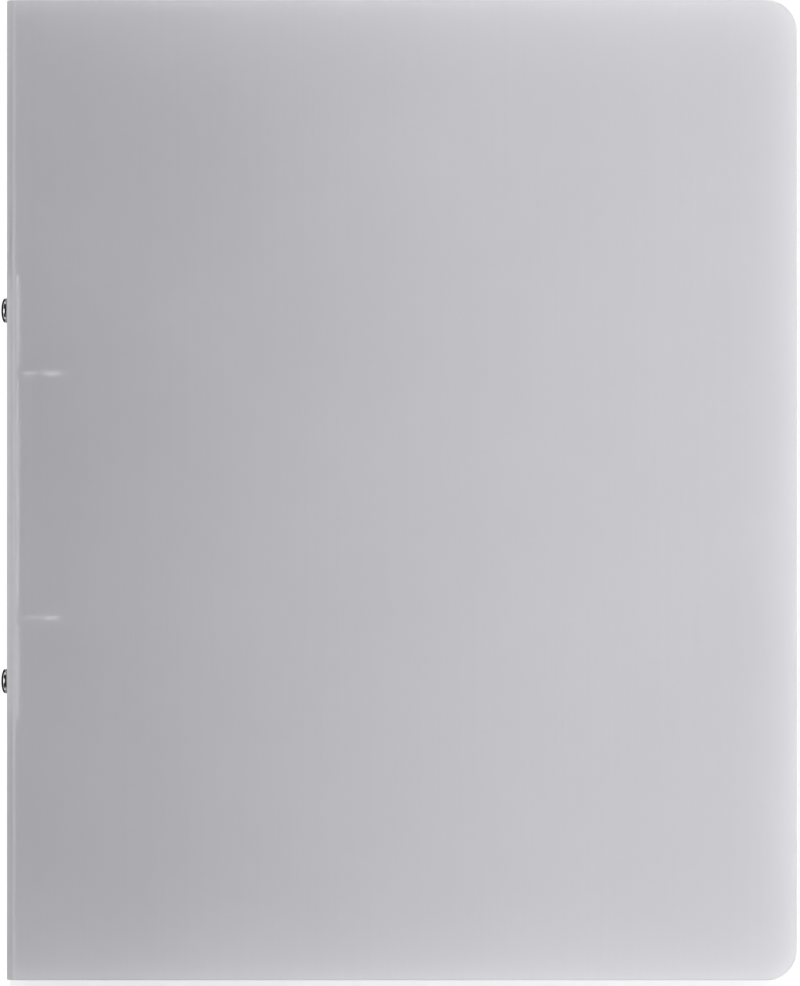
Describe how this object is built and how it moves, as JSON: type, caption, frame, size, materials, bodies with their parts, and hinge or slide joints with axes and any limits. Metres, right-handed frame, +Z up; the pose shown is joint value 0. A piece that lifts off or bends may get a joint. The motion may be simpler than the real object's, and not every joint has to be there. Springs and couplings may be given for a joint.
{
  "type": "two-ring binder",
  "caption": "Frosted plastic ring binder, closed: creased one-sheet cover on a narrow spine, with a riveted ring mechanism whose rings pull open by hand.",
  "frame": {"origin": "middle of the bounding box's bottom face, under the back cover, on which the closed binder lies", "axes": "+Z up from the back cover to the front cover, +X from the spine to the free edge, +Y along the spine to the binder's top edge"},
  "size_m": [0.2602, 0.32, 0.03],
  "materials": {
    "frosted_sheet": "translucent polypropylene sheet with a fine frosted grain on both faces",
    "nickel_plate": "bright nickel plating on steel",
    "zinc_plate": "dull zinc plating on steel"
  },
  "bodies": {
    "spine": {"spine_panel": "frosted_sheet", "mechanism_housing": "nickel_plate", "upper_rivet": "zinc_plate", "lower_rivet": "zinc_plate", "upper_rivet_post": "zinc_plate", "lower_rivet_post": "zinc_plate", "upper_rivet_cap": "nickel_plate", "lower_rivet_cap": "nickel_plate"},
    "back_strip": {"back_crease_strip": "frosted_sheet"},
    "back_cover": {"back_cover": "frosted_sheet"},
    "front_strip": {"front_crease_strip": "frosted_sheet"},
    "front_cover": {"front_cover": "frosted_sheet"},
    "front_carrier": {"front_carrier_plate": "zinc_plate", "upper_front_ring_half": "nickel_plate", "lower_front_ring_half": "nickel_plate"},
    "rear_carrier": {"rear_carrier_plate": "zinc_plate", "upper_rear_ring_half": "nickel_plate", "lower_rear_ring_half": "nickel_plate"}
  },
  "joints": [
    {"name": "back_spine_crease", "type": "hinge", "parent": "spine", "child": "back_strip", "pos_m": [-0.1275, 0, 0.00252], "axis": [0, 1, 0], "range_deg": [0, 90]},
    {"name": "back_cover_crease", "type": "hinge", "parent": "back_strip", "child": "back_cover", "pos_m": [-0.12538, 0, 0.0004], "axis": [0, 1, 0], "range_deg": [0, 90]},
    {"name": "front_spine_crease", "type": "hinge", "parent": "spine", "child": "front_strip", "pos_m": [-0.1275, 0, 0.02748], "axis": [0, -1, 0], "range_deg": [0, 90]},
    {"name": "front_cover_crease", "type": "hinge", "parent": "front_strip", "child": "front_cover", "pos_m": [-0.12538, 0, 0.0296], "axis": [0, -1, 0], "range_deg": [0, 90]},
    {"name": "ring_opening", "type": "hinge", "parent": "spine", "child": "front_carrier", "pos_m": [-0.12517, 0, 0.0211], "axis": [0, -1, 0], "range_deg": [0, 19]},
    {"name": "rear_ring_opening", "type": "hinge", "parent": "spine", "child": "rear_carrier", "pos_m": [-0.12517, 0, 0.0089], "axis": [0, 1, 0], "range_deg": [0, 19]}
  ],
  "couplings": [
    {"joint": "back_cover_crease", "follows": "back_spine_crease", "ratio": 1},
    {"joint": "front_cover_crease", "follows": "front_spine_crease", "ratio": 1},
    {"joint": "rear_ring_opening", "follows": "ring_opening", "ratio": 1}
  ]
}
